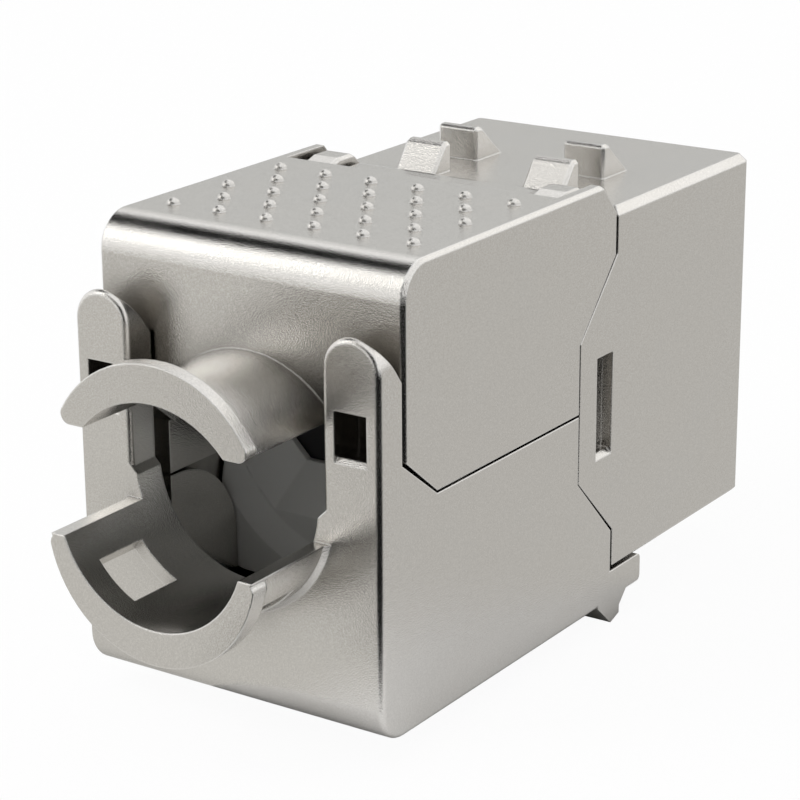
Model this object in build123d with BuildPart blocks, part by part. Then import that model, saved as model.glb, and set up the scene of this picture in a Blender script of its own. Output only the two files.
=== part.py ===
from build123d import *
import os

# Keystone jack, shielded and tool-free. Millimetres, Z up, X across the width, Y towards the plug.
# Origin: middle of the width, on the rear face of the panel, at half the housing's height.

# Front housing
body_width = 14.5
housing_height = 16.0
housing_rear = -1.9
housing_front = 10.05
housing_wall = 1.1
housing_roof = 1.0
front_wall = 1.0
front_corner_radius = 0.5
top_bevel = 0.32
bottom_bevel = 0.15

# Keystone lugs, the panel's edge sits between the two rows
near_lug_height = 1.3
far_lug_height = 1.48
lug_width = 2.03
lug_spacing = 6.46
lug_land = 0.5
near_lug_ramp = 1.0
far_lug_ramp = 1.76
panel_slot = 2.03
lug_bevel = 0.13

# Side tongues that lie between the closed flaps
tongue_length = 2.95
tongue_top = 2.85
tongue_bottom = -3.25
tongue_root_drop = 1.96
tongue_root_rise = 1.8
tongue_thickness = 1.05
tongue_gap = 0.08
tongue_slot_inset = 1.38
tongue_slot_width = 1.3
tongue_slot_height = 4.3
tongue_slot_middle = -0.265
tongue_slot_depth = 0.5
tongue_slot_bevel = 0.22

# Flaps
flap_wall = 1.0
hinge_wall = 0.55
plate_thickness = 1.2
flap_gap = 0.12
front_gap = 0.18
flap_rise = 1.2
flap_drop = 1.55
flap_length = 17.5
arm_gap = 0.15
upper_rear_wall = 1.2
arm_thickness = 1.45
rear_corner_radius = 1.5
split_height = -0.15
split_run = 2.23
split_rise = 1.8
edge_bevel = 0.15
outer_edge_radius = 0.22

# Hinge of the upper flap
upper_hinge_y = -3.6
upper_hinge_drop = 0.6
barrel_radius = 1.3
barrel_end_gap = 0.25
barrel_step = 0.5
plate_setback = 2.35
web_length = 0.65
ear_inset = 0.85
ear_width = 1.45
ear_reach = 2.2
ear_floor_drop = 1.45
ear_crown_front = 0.05
ear_crown_rear = 0.95
ear_facet_rear = 1.55
ear_facet_drop = 0.17
ear_back_drop = 0.4
ear_rise = 1.1
ear_bevel = 0.12
upper_trunnion_radius = 0.8
trunnion_bite = 0.28
wall_corner_ahead = 0.32
wall_corner_height = 0.45

# Hinge of the lower flap
lower_hinge_y = 0.2
lower_hinge_drop = 0.8
lower_trunnion_radius = 0.38
lower_ear_inset = 1.2
lower_ear_width = 1.15
lower_ear_radius = 0.75
running_clearance = 0.05
ear_side_gap = 0.1
cheek_front = 0.6
cheek_drop = 1.35
cheek_corner_radius = 0.25
under_gap = 0.1
plate_front_gap = 0.25

# Panel noses under the lower flap
nose_width = 3.0
nose_ramp_start = -3.02
nose_tip_y = -1.92
nose_depth = 1.18
nose_tip_rise = 0.23
nose_front = -1.2
nose_relief = 0.6

# Snap arms of the lower flap
arm_width = 2.6
arm_top = 6.65
arm_ramp_height = 1.85
arm_tip_thickness = 0.2
arm_tip_drop = 0.15
window_width = 1.45
window_height = 1.85
window_middle_inset = 1.32
window_middle_z = 2.83
window_bevel = 0.2
pocket_depth = 0.8

# Cable collar, half on each flap
collar_z = -0.2
collar_outer = 5.0
collar_bore = 4.4
upper_collar_bore = 4.45
upper_collar_cut = 2.75
upper_collar_length = 5.9
upper_flange_thickness = 0.65
upper_flange_radius = 5.07
upper_flange_z = 0.71
lower_collar_cut = -1.65
lower_collar_length = 4.7
lower_flange_thickness = 0.85
lower_flange_radius = 4.95
lower_flange_z = -1.08
flange_tip_radius = 0.4
collar_root = 0.2
rear_cut_height = -0.38
rear_cut_chamfer = 0.3
tie_window_inset = 1.2
tie_window_length = 2.55
tie_window_width = 2.15
tie_window_angle = 38.3
tie_cutter_depth = 0.8

# Dots on the top
dot_radius = 0.3
dot_sink = 0.05
dot_pitch_x = 2.3
dot_pitch_y = 1.79
dot_middle_y = -11.31
dot_columns = 6

# Cheek pads and wire pressers inside the flaps
pad_width = 0.95
pad_inset = 1.45
pad_front = -12.1
pad_top = -1.82
pad_arch_radius = 3.8
upper_pad_front = -13.04
presser_width = 1.2
presser_rear = -9.2
presser_front = -6.2
presser_gap = 0.1

# Wire manager
manager_rear = -12.0
manager_front = -9.9
manager_side_gap = 1.25
manager_top_gap = 0.9
manager_corner_radius = 1.2
dish_radius = 6.8
dish_floor_radius = 5.75
dish_depth = 0.6
funnel_half_width = 5.2
funnel_half_height = 4.3
funnel_corner = 1.5
throat_half_width = 3.9
throat_half_height = 2.3
throat_corner = 1.05
funnel_length = 1.2
comb_length = 1.0
comb_width = 1.3
comb_depth = 3.0

# Insulation displacement contacts and their block
block_rear = -9.7
block_front = -4.9
block_side_gap = 1.85
block_top_gap = 2.4
wire_pitch = 2.8
groove_width = 1.5
groove_depth = 2.6
blade_thickness = 0.4
blade_width = 2.2
blade_tip_gap = 0.4
blade_root = 0.9
blade_slot = 0.35
blade_slot_depth = 2.2
blade_mouth = 0.9
blade_mouth_depth = 0.7
blade_rear_row = -8.4
blade_front_row = -6.6
tail_height = 1.3
tail_size = 0.4
seat_clearance = 0.05

# Circuit board
board_rear = -4.8
board_front = -3.8
board_side_gap = 1.35
board_top_gap = 2.4
board_bottom_gap = 1.2
board_hole_radius = 0.33

# Contact carrier and plug port
carrier_rear = -1.8
port_side_wall = 1.4
port_height = 6.7
port_floor = 4.05
port_depth_wall = 0.3
notch_width = 6.1
notch_height = 1.45
keyway_width = 3.4
keyway_height = 1.0
key_block_width = 1.55
key_block_height = 1.3
port_lead_in = 0.3

# Contacts of the port
contact_pitch = 1.02
contact_count = 8
wire_width = 0.4
wire_thickness = 0.3
wire_floor_height = 1.8
wire_turn = 7.2
wire_rise = 1.1
wire_end_y = -0.2
wire_end_height = 6.1
wire_bend = 0.5
channel_width = 0.56
comb_slot_depth = 0.8
comb_slot_above = 1.0

# Shield springs beside the plug
spring_thickness = 0.2
spring_rear = 0.8
spring_front = 8.6
spring_foot = 1.2
spring_bulge = 0.45
spring_slit = 0.6
spring_slit_margin = 0.8

# Length that only finds edges and faces near a place
near = 0.01

# Values that follow from the ones above: the body
half_width = body_width / 2
half_height = housing_height / 2
housing_length = housing_front - housing_rear
housing_middle = (housing_front + housing_rear) / 2
pocket_half_width = half_width - housing_wall
pocket_half_height = half_height - housing_roof
pocket_front = housing_front - front_wall
tongue_rear = housing_rear - tongue_length
tongue_root_top = half_height - tongue_root_drop
tongue_root_bottom = -half_height + tongue_root_rise

# Values that follow: the flaps
lower_rear = housing_rear - flap_length
lower_wall_front = lower_rear + arm_thickness
upper_rear = lower_wall_front + arm_gap
flap_top = half_height + flap_rise
flap_bottom = -half_height - flap_drop
flap_inner = half_width - flap_wall
hinge_inner = half_width - hinge_wall
split_rear = upper_rear + split_run
upper_plate_under = flap_top - plate_thickness
lower_plate_over = flap_bottom + plate_thickness
upper_hinge_z = half_height - upper_hinge_drop
ear_outer = half_width - ear_inset
ear_inner = ear_outer - ear_width
barrel_half_length = ear_inner - barrel_end_gap
upper_plate_front = upper_hinge_y - plate_setback
barrel_step_z = flap_top - barrel_step
ear_top = half_height + ear_rise
ear_floor = upper_hinge_z - ear_floor_drop
lower_hinge_z = -half_height - lower_hinge_drop
lower_ear_outer = half_width - lower_ear_inset
lower_ear_inner = lower_ear_outer - lower_ear_width
cheek_inner = lower_ear_outer + ear_side_gap
cheek_bottom = -half_height - cheek_drop
nose_inner = half_width - nose_width
nose_tip_z = cheek_bottom - nose_depth
arm_inner = half_width - arm_width
window_middle_x = half_width - window_middle_inset
upper_flange_rear = upper_rear - upper_collar_length
lower_flange_rear = lower_rear - lower_collar_length
tie_window_rear = lower_flange_rear + tie_window_inset
pad_inner = cheek_inner - pad_width
pad_rear = upper_rear + pad_inset

# Values that follow: what lies inside
manager_half_width = half_width - manager_side_gap
manager_half_height = half_height - manager_top_gap
block_half_width = half_width - block_side_gap
block_half_height = half_height - block_top_gap
blade_tip = block_half_height - blade_tip_gap
board_half_width = half_width - board_side_gap
board_top = half_height - board_top_gap
board_bottom = -half_height + board_bottom_gap
wire_columns = [-1.5 * wire_pitch, -0.5 * wire_pitch, 0.5 * wire_pitch, 1.5 * wire_pitch]
blade_rows = [blade_rear_row, blade_front_row, blade_rear_row, blade_front_row]
port_width = body_width - 2 * port_side_wall
port_bottom = -half_height + port_floor
port_top = port_bottom + port_height
port_middle = port_bottom + port_height / 2
wire_floor = -half_height + wire_floor_height
wire_end_z = -half_height + wire_end_height
spring_outer = pocket_half_width - seat_clearance

# Front housing: outer block
with BuildPart() as front_housing:
    with BuildSketch(Plane.YZ):
        with Locations((housing_middle, 0)):
            Rectangle(housing_length, housing_height)
    extrude(amount=half_width, both=True)
    front_uprights = front_housing.edges().filter_by(Axis.Z).group_by(Axis.Y)[-1]
    fillet(front_uprights, radius=front_corner_radius)
    top_face = front_housing.faces().sort_by(Axis.Z)[-1]
    chamfer(top_face.edges(), length=top_bevel)
    bottom_face = front_housing.faces().sort_by(Axis.Z)[0]
    chamfer(bottom_face.edges(), length=bottom_bevel)

    # Near lugs, square towards the plug and ramped towards the cable
    near_lug_x = lug_spacing / 2
    with BuildSketch(Plane.YZ.offset(near_lug_x - lug_width / 2)):
        with BuildLine():
            Polyline(
                (0, half_height),
                (0, half_height + near_lug_height),
                (-lug_land, half_height + near_lug_height),
                (-lug_land - near_lug_ramp, half_height),
                close=True,
            )
        make_face()
    extrude(amount=lug_width)

    # Far lugs, square towards the panel and ramped towards the plug
    with BuildSketch(Plane.YZ.offset(near_lug_x - lug_width / 2)):
        with BuildLine():
            Polyline(
                (panel_slot, half_height),
                (panel_slot, half_height + far_lug_height),
                (panel_slot + lug_land, half_height + far_lug_height),
                (panel_slot + lug_land + far_lug_ramp, half_height),
                close=True,
            )
        make_face()
    extrude(amount=lug_width)
    lug_edges = front_housing.edges().filter_by_position(
        Axis.Z, half_height + near, half_height + far_lug_height + near
    )
    chamfer(lug_edges, length=lug_bevel)

    # Side tongue with its slot
    with BuildSketch(Plane.YZ.offset(half_width - tongue_thickness)):
        with BuildLine():
            Polyline(
                (housing_rear, tongue_root_top),
                (tongue_rear, tongue_top),
                (tongue_rear, tongue_bottom),
                (housing_rear, tongue_root_bottom),
                close=True,
            )
        make_face()
    extrude(amount=tongue_thickness)
    slot_y = tongue_rear + tongue_slot_inset + tongue_slot_width / 2
    with BuildSketch(Plane.YZ.offset(half_width)):
        with Locations((slot_y, tongue_slot_middle)):
            Rectangle(tongue_slot_width, tongue_slot_height)
    extrude(amount=-tongue_slot_depth, mode=Mode.SUBTRACT)
    slot_edges = front_housing.edges().filter_by(Axis.Y).filter_by_position(
        Axis.X, half_width - near, half_width + near
    )
    slot_low_edge = slot_edges.filter_by_position(Axis.Y, tongue_rear, housing_rear).sort_by(Axis.Z)[0]
    chamfer(slot_low_edge, length=tongue_slot_bevel)

    # Upper hinge ear
    with BuildSketch(Plane.YZ.offset(ear_inner)):
        with Locations((upper_hinge_y, upper_hinge_z)):
            Circle(ear_reach)
        with BuildLine():
            Polyline(
                (housing_rear, ear_floor),
                (upper_hinge_y - ear_reach, ear_floor),
                (upper_hinge_y - ear_reach, ear_top - ear_back_drop),
                (upper_hinge_y - ear_facet_rear, ear_top - ear_facet_drop),
                (upper_hinge_y - ear_crown_rear, ear_top),
                (upper_hinge_y - ear_crown_front, ear_top),
                (housing_rear, half_height - top_bevel),
                close=True,
            )
        make_face(mode=Mode.INTERSECT)
    extrude(amount=ear_outer - ear_inner)
    ear_edges = front_housing.edges().filter_by_position(
        Axis.Z, ear_top - ear_facet_drop, ear_top + near
    ).filter_by_position(Axis.Y, upper_hinge_y - ear_facet_rear, upper_hinge_y - ear_crown_front)
    ear_top_edges = ear_edges.filter_by_position(Axis.X, ear_inner - near, ear_inner + near)
    ear_top_edges += ear_edges.filter_by_position(Axis.X, ear_outer - near, ear_outer + near)
    chamfer(ear_top_edges, length=ear_bevel)
    with BuildSketch(Plane.YZ.offset(ear_outer)):
        with Locations((upper_hinge_y, upper_hinge_z)):
            Circle(upper_trunnion_radius)
    extrude(amount=hinge_inner - ear_outer + trunnion_bite)

    # Lower hinge ear with its bore
    with BuildSketch(Plane.YZ.offset(lower_ear_inner)):
        with Locations((lower_hinge_y, lower_hinge_z)):
            Circle(lower_ear_radius)
        with Locations((lower_hinge_y, (lower_hinge_z - half_height + bottom_bevel) / 2)):
            Rectangle(2 * lower_ear_radius, -half_height - lower_hinge_z + bottom_bevel)
        with Locations((lower_hinge_y, lower_hinge_z)):
            Circle(lower_trunnion_radius + running_clearance, mode=Mode.SUBTRACT)
    extrude(amount=lower_ear_outer - lower_ear_inner)

    # The other side is the same
    mirror(about=Plane.YZ)

    # Pocket for the contact carrier, open to the rear, with key blocks in its upper corners
    with BuildSketch(Plane.XZ.offset(-housing_rear)):
        Rectangle(2 * pocket_half_width, 2 * pocket_half_height)
        key_x = pocket_half_width - key_block_width / 2
        key_z = pocket_half_height - key_block_height / 2
        with Locations((-key_x, key_z), (key_x, key_z)):
            Rectangle(
                key_block_width,
                key_block_height,
                mode=Mode.SUBTRACT,
            )
    extrude(amount=housing_rear - pocket_front, mode=Mode.SUBTRACT)

    # Plug port through the front wall
    with BuildSketch(Plane.XZ.offset(-housing_front)):
        with Locations((0, port_middle)):
            Rectangle(port_width, port_height)
        with Locations((0, port_top + notch_height / 2)):
            Rectangle(notch_width, notch_height)
        with Locations((0, port_top + notch_height + keyway_height / 2)):
            Rectangle(keyway_width, keyway_height)
    extrude(amount=front_wall, mode=Mode.SUBTRACT)
    port_rim = front_housing.faces().sort_by(Axis.Y)[-1].inner_wires()[0].edges()
    chamfer(port_rim, length=port_lead_in)

# Upper flap
with BuildPart() as upper_flap:
    with BuildSketch(Plane.YZ):
        with BuildLine():
            Polyline(
                (upper_rear, flap_top),
                (upper_hinge_y + wall_corner_ahead, flap_top),
                (housing_rear - front_gap, upper_hinge_z + wall_corner_height),
                (housing_rear - front_gap, tongue_root_top),
                (tongue_rear - tongue_gap, tongue_top),
                (tongue_rear - tongue_gap, split_height),
                (split_rear, split_height),
                (upper_rear, split_height + split_rise),
                close=True,
            )
        make_face()
        rear_top = vertices().sort_by(Axis.Y)[-2:].sort_by(Axis.X)[0]
        fillet(rear_top, radius=rear_corner_radius)
    extrude(amount=half_width, both=True)
    side_edges = upper_flap.edges().filter_by_position(
        Axis.Y, upper_rear - near, upper_hinge_y
    ).filter_by_position(Axis.Z, split_height + split_rise, flap_top + near).group_by(Axis.X)
    chamfer(side_edges[0] + side_edges[-1], length=edge_bevel)

    # Hollow inside, open at the front and below
    with BuildSketch(Plane.XY.offset(upper_plate_under)):
        with Locations(((0, (upper_rear + upper_rear_wall) / 2))):
            Rectangle(2 * flap_inner, -(upper_rear + upper_rear_wall))
    extrude(amount=-2 * flap_top, mode=Mode.SUBTRACT)

    # Space for the ears ahead of the top plate
    with BuildSketch(Plane.XY.offset(flap_top)):
        with Locations((0, upper_plate_front / 2)):
            Rectangle(2 * hinge_inner, -upper_plate_front)
    extrude(amount=-2 * flap_top, mode=Mode.SUBTRACT)

    # Barrel across the front of the plate
    with BuildSketch(Plane.YZ):
        with Locations((upper_hinge_y, upper_hinge_z)):
            Circle(barrel_radius)
        with BuildLine():
            Polyline(
                (upper_plate_front, upper_plate_under),
                (upper_plate_front, barrel_step_z),
                (upper_hinge_y, upper_hinge_z + barrel_radius),
                (upper_hinge_y, upper_hinge_z),
                close=True,
            )
        make_face()
    extrude(amount=barrel_half_length, both=True)
    with BuildSketch(Plane.YZ):
        with Locations((upper_plate_front, (upper_plate_under + barrel_step_z) / 2)):
            Rectangle(2 * web_length, barrel_step_z - upper_plate_under)
    extrude(amount=barrel_half_length, both=True)

    # Blind sockets for the housing's trunnions
    with BuildSketch(Plane.YZ.offset(hinge_inner)):
        with Locations((upper_hinge_y, upper_hinge_z)):
            Circle(upper_trunnion_radius + running_clearance)
    extrude(amount=trunnion_bite + running_clearance, mode=Mode.SUBTRACT)
    with BuildSketch(Plane.YZ.offset(-hinge_inner)):
        with Locations((upper_hinge_y, upper_hinge_z)):
            Circle(upper_trunnion_radius + running_clearance)
    extrude(amount=-trunnion_bite - running_clearance, mode=Mode.SUBTRACT)

    # Half collar with its flange
    with BuildSketch(Plane.XZ.offset(-upper_rear - upper_rear_wall)):
        with Locations((0, collar_z)):
            Circle(collar_outer)
        with Locations((0, upper_collar_cut - collar_outer)):
            Rectangle(4 * collar_outer, 2 * collar_outer, mode=Mode.SUBTRACT)
    extrude(amount=upper_rear + upper_rear_wall - upper_flange_rear)
    with BuildSketch(Plane.XZ.offset(-upper_flange_rear)):
        with Locations((0, upper_flange_z)):
            Circle(upper_flange_radius)
        with Locations((0, upper_collar_cut - collar_outer)):
            Rectangle(4 * collar_outer, 2 * collar_outer, mode=Mode.SUBTRACT)
        flange_tips = vertices().group_by(Axis.Y)[0]
        fillet(flange_tips, radius=flange_tip_radius)
    extrude(amount=-upper_flange_thickness)
    with BuildSketch(Plane.XZ.offset(-upper_flange_rear)):
        with Locations((0, collar_z)):
            Circle(upper_collar_bore)
    extrude(amount=upper_flange_rear - upper_rear - upper_rear_wall, mode=Mode.SUBTRACT)

    # Rear wall stops above the lower flap's half of the bore
    with BuildSketch(Plane.XZ.offset(-upper_rear)):
        with Locations((0, upper_collar_cut - collar_outer)):
            Rectangle(2 * arm_inner, 2 * collar_outer)
    extrude(amount=-upper_rear_wall, mode=Mode.SUBTRACT)

    # Pockets behind the windows of the arms
    with BuildSketch(Plane.XZ.offset(-upper_rear)):
        with Locations((-window_middle_x, window_middle_z), (window_middle_x, window_middle_z)):
            Rectangle(window_width, window_height)
    extrude(amount=-pocket_depth, mode=Mode.SUBTRACT)

    # Cheek pads, hollowed below to clear the arches of the lower ones
    arch_y = pad_front - pad_arch_radius
    arch_z = pad_top - pad_arch_radius
    with BuildSketch(Plane.YZ.offset(pad_inner)):
        with BuildLine():
            Polyline(
                (pad_rear, upper_plate_under),
                (pad_rear, pad_top + flap_gap),
                (arch_y, pad_top + flap_gap),
                (upper_pad_front, pad_top + flap_gap),
                (upper_pad_front, upper_plate_under),
                close=True,
            )
        make_face()
        with Locations((arch_y, arch_z)):
            Circle(pad_arch_radius + flap_gap, mode=Mode.SUBTRACT)
    upper_pad = extrude(amount=cheek_inner - flap_gap - pad_inner)
    mirror(upper_pad, about=Plane.YZ)
    with BuildSketch(Plane.XY.offset(split_height)):
        pad_x = (pad_inner + half_width - hinge_wall) / 2
        pad_y = (split_rear + upper_pad_front) / 2
        with Locations((-pad_x, pad_y), (pad_x, pad_y)):
            Rectangle(half_width - hinge_wall - pad_inner, upper_pad_front - split_rear)
    extrude(amount=upper_plate_under - split_height)

    # Wire pressers
    with BuildSketch(Plane.XY.offset(block_half_height + presser_gap)):
        with Locations((0, (presser_rear + presser_front) / 2)):
            with GridLocations(wire_pitch, 1, 4, 1):
                Rectangle(presser_width, presser_front - presser_rear)
    extrude(amount=upper_plate_under - block_half_height)

    # Dots on the top, six and five in turn
    dot_plane = Plane((0, dot_middle_y, flap_top - dot_sink))
    with Locations(dot_plane):
        with GridLocations(dot_pitch_x, 2 * dot_pitch_y, dot_columns, 3):
            Sphere(dot_radius)
        with GridLocations(dot_pitch_x, 2 * dot_pitch_y, dot_columns - 1, 2):
            Sphere(dot_radius)

# Lower flap
with BuildPart() as lower_flap:
    with BuildSketch(Plane.YZ):
        with BuildLine():
            Polyline(
                (lower_rear, flap_bottom),
                (lower_rear, split_height - flap_gap + split_rise),
                (lower_wall_front, split_height - flap_gap + split_rise),
                (split_rear, split_height - flap_gap),
                (tongue_rear - tongue_gap, split_height - flap_gap),
                (tongue_rear - tongue_gap, tongue_bottom),
                (housing_rear - front_gap, tongue_root_bottom),
                (housing_rear - front_gap, flap_bottom),
                close=True,
            )
        make_face()
        rear_low = vertices().group_by(Axis.Y)[0].sort_by(Axis.X)[0]
        fillet(rear_low, radius=rear_corner_radius)
    extrude(amount=half_width, both=True)
    with BuildSketch(Plane.XY.offset(lower_plate_over)):
        with Locations((0, lower_wall_front / 2)):
            Rectangle(2 * cheek_inner, -lower_wall_front)
    extrude(amount=2 * flap_top, mode=Mode.SUBTRACT)

    # Snap arms, round at the top
    arm_half = (half_width - arm_inner) / 2
    with BuildSketch(Plane.XZ.offset(-lower_rear)):
        with Locations((arm_inner + arm_half, arm_top - arm_half)):
            Circle(arm_half)
        with Locations((arm_inner + arm_half, (arm_top - arm_half) / 2)):
            Rectangle(2 * arm_half, arm_top - arm_half)
    extrude(amount=-arm_thickness)
    with BuildSketch(Plane.XZ.offset(-lower_rear)):
        with Locations((-arm_inner - arm_half, arm_top - arm_half)):
            Circle(arm_half)
        with Locations((-arm_inner - arm_half, (arm_top - arm_half) / 2)):
            Rectangle(2 * arm_half, arm_top - arm_half)
    extrude(amount=-arm_thickness)

    # Room for the cable between the arms
    with BuildSketch(Plane.XZ.offset(-lower_rear)):
        with BuildLine():
            Polyline(
                (-arm_inner, arm_top),
                (-arm_inner, rear_cut_height),
                (-arm_inner + rear_cut_chamfer, rear_cut_height - rear_cut_chamfer),
                (arm_inner - rear_cut_chamfer, rear_cut_height - rear_cut_chamfer),
                (arm_inner, rear_cut_height),
                (arm_inner, arm_top),
                close=True,
            )
        make_face()
        with Locations((0, collar_z)):
            Circle(collar_bore)
    extrude(amount=-arm_thickness, mode=Mode.SUBTRACT)

    # Round the outer edges of the rear face, its corners and the bottom
    rear_face_edges = lower_flap.edges().filter_by_position(
        Axis.Y, lower_rear - near, lower_rear + near
    )
    side_uprights = rear_face_edges.filter_by(Axis.Z).group_by(Axis.X)
    arm_arcs = rear_face_edges.filter_by(GeomType.CIRCLE).filter_by_position(
        Axis.Z, arm_top - arm_half, arm_top
    )
    low_edges = lower_flap.edges().filter_by_position(
        Axis.Z, flap_bottom - near, flap_bottom + rear_corner_radius
    ).filter_by_position(Axis.Y, lower_rear, tongue_rear).group_by(Axis.X)
    outer_edges = side_uprights[0] + side_uprights[-1] + arm_arcs + low_edges[0] + low_edges[-1]
    fillet(outer_edges, radius=outer_edge_radius)

    # Ramp behind the top of each arm, which lets the upper flap in
    with BuildSketch(Plane.YZ):
        with BuildLine():
            Polyline(
                (lower_wall_front, arm_top - arm_ramp_height),
                (lower_rear + arm_tip_thickness, arm_top - arm_tip_drop),
                (lower_rear + arm_tip_thickness, arm_top + arm_tip_drop),
                (lower_wall_front, arm_top + arm_tip_drop),
                close=True,
            )
        make_face()
    extrude(amount=half_width, both=True, mode=Mode.SUBTRACT)

    # Windows of the arms
    with BuildSketch(Plane.XZ.offset(-lower_rear)):
        with Locations((-window_middle_x, window_middle_z), (window_middle_x, window_middle_z)):
            Rectangle(window_width, window_height)
    extrude(amount=-arm_thickness, mode=Mode.SUBTRACT)
    sill_height = window_middle_z - window_height / 2
    window_sills = lower_flap.edges().filter_by(Axis.X).filter_by_position(
        Axis.Y, lower_rear - near, lower_rear + near
    ).filter_by_position(Axis.Z, sill_height - near, sill_height + near)
    chamfer(window_sills, length=window_bevel)

    # Half collar with its flange and the windows for a cable tie
    with BuildSketch(Plane.XZ.offset(-lower_rear)):
        with Locations((0, collar_z)):
            Circle(collar_outer)
        with Locations((0, lower_collar_cut + collar_outer)):
            Rectangle(4 * collar_outer, 2 * collar_outer, mode=Mode.SUBTRACT)
    extrude(amount=lower_rear - lower_flange_rear)
    with BuildSketch(Plane.XZ.offset(-lower_flange_rear)):
        with Locations((0, lower_flange_z)):
            Circle(lower_flange_radius)
        with Locations((0, lower_collar_cut + collar_outer)):
            Rectangle(4 * collar_outer, 2 * collar_outer, mode=Mode.SUBTRACT)
        flange_tips = vertices().group_by(Axis.Y)[-1]
        fillet(flange_tips, radius=flange_tip_radius)
    extrude(amount=-lower_flange_thickness)
    for root_plane, root_radius in (
        (-lower_rear, collar_outer + collar_root),
        (-lower_rear + collar_root, collar_outer),
    ):
        with BuildSketch(Plane.XZ.offset(root_plane)):
            with Locations((0, collar_z)):
                Circle(root_radius)
            with Locations((0, lower_collar_cut + collar_outer)):
                Rectangle(4 * collar_outer, 2 * collar_outer, mode=Mode.SUBTRACT)
    loft()
    with BuildSketch(Plane.XZ.offset(-lower_flange_rear)):
        with Locations((0, collar_z)):
            Circle(collar_bore)
    extrude(amount=lower_flange_rear - lower_rear, mode=Mode.SUBTRACT)
    tie_cutter_radius = collar_bore - tie_cutter_depth
    with BuildSketch(Plane.XZ.offset(-tie_window_rear)):
        with Locations((0, collar_z)):
            with PolarLocations(
                tie_cutter_radius, 2, -90 - tie_window_angle, 2 * tie_window_angle, endpoint=True
            ):
                Rectangle(
                    collar_outer - collar_bore + 2 * tie_cutter_depth,
                    tie_window_width,
                    align=(Align.MIN, Align.CENTER),
                )
    extrude(amount=-tie_window_length, mode=Mode.SUBTRACT)

    # Bottom plate runs on under the housing, with a hinge cheek on each side
    cheek_top = -half_height - under_gap
    cheek_rear = housing_rear - front_gap
    plate_front = lower_hinge_y - lower_ear_radius - plate_front_gap
    with BuildSketch(Plane.YZ):
        with Locations(((cheek_rear + plate_front) / 2, (flap_bottom + cheek_top) / 2)):
            Rectangle(plate_front - cheek_rear, cheek_top - flap_bottom)
    extrude(amount=cheek_inner, both=True)
    with BuildSketch(Plane.YZ.offset(cheek_inner)):
        with Locations(((cheek_rear + cheek_front) / 2, (cheek_bottom + cheek_top) / 2)):
            Rectangle(cheek_front - cheek_rear, cheek_top - cheek_bottom)
        front_corners = vertices().group_by(Axis.X)[-1]
        fillet(front_corners, radius=cheek_corner_radius)
    extrude(amount=half_width - cheek_inner)
    with BuildSketch(Plane.YZ.offset(cheek_inner)):
        with Locations((lower_hinge_y, lower_hinge_z)):
            Circle(lower_trunnion_radius)
    extrude(amount=lower_ear_inner - cheek_inner)

    # Panel nose
    with BuildSketch(Plane.YZ.offset(nose_inner)):
        with BuildLine():
            Polyline(
                (nose_ramp_start, flap_bottom),
                (nose_tip_y, nose_tip_z),
                (nose_front, nose_tip_z + nose_tip_rise),
                (nose_front, cheek_bottom - nose_relief),
                (nose_front + nose_relief, cheek_bottom),
                (nose_ramp_start, cheek_bottom),
                close=True,
            )
        make_face()
    extrude(amount=half_width - nose_inner)

    # Cheek pad, its top runs down in an arch
    with BuildSketch(Plane.YZ.offset(pad_inner)):
        with BuildLine():
            Polyline(
                (pad_rear, lower_plate_over),
                (pad_rear, pad_top),
                (arch_y, pad_top),
            )
            JernArc((arch_y, pad_top), (1, 0), pad_arch_radius, -90)
            Polyline(
                (pad_front, pad_top - pad_arch_radius),
                (pad_front, lower_plate_over),
                (pad_rear, lower_plate_over),
            )
        make_face()
    extrude(amount=half_width - hinge_wall - pad_inner)

    # The other side is the same
    mirror(about=Plane.YZ)

    # Wire pressers
    with BuildSketch(Plane.XY.offset(-block_half_height - presser_gap)):
        with Locations((0, (presser_rear + presser_front) / 2)):
            with GridLocations(wire_pitch, 1, 4, 1):
                Rectangle(presser_width, presser_front - presser_rear)
    extrude(amount=lower_plate_over + block_half_height)

# Wire manager: a shallow dish, then a funnel with cut corners
with BuildPart() as wire_manager:
    with BuildSketch(Plane.XZ.offset(-manager_rear)):
        with Locations((0, collar_z)):
            RectangleRounded(2 * manager_half_width, 2 * manager_half_height, manager_corner_radius)
    extrude(amount=manager_rear - manager_front)
    with BuildSketch(Plane.XZ.offset(-manager_rear)):
        with Locations((0, collar_z)):
            Circle(dish_radius)
    with BuildSketch(Plane.XZ.offset(-manager_rear - dish_depth)):
        with Locations((0, collar_z)):
            Circle(dish_floor_radius)
    loft(mode=Mode.SUBTRACT)
    funnel_mouth = -manager_rear - dish_depth
    with BuildSketch(Plane.XZ.offset(funnel_mouth)):
        with Locations((0, collar_z)):
            Rectangle(2 * funnel_half_width, 2 * funnel_half_height)
        chamfer(vertices(), length=funnel_corner)
    with BuildSketch(Plane.XZ.offset(funnel_mouth - funnel_length)):
        with Locations((0, collar_z)):
            Rectangle(2 * throat_half_width, 2 * throat_half_height)
        chamfer(vertices(), length=throat_corner)
    loft(mode=Mode.SUBTRACT)
    with BuildSketch(Plane.XZ.offset(-manager_front)):
        with Locations((0, collar_z)):
            Rectangle(2 * throat_half_width, 2 * throat_half_height)
        chamfer(vertices(), length=throat_corner)
    extrude(amount=funnel_mouth - funnel_length + manager_front, mode=Mode.SUBTRACT)

    # Combs above and below that lead the wires to the grooves
    with BuildSketch(Plane.XZ.offset(-manager_front)):
        with Locations((0, collar_z)):
            with GridLocations(wire_pitch, 2 * manager_half_height, 4, 2):
                Rectangle(comb_width, 2 * comb_depth)
    extrude(amount=comb_length, mode=Mode.SUBTRACT)

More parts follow.
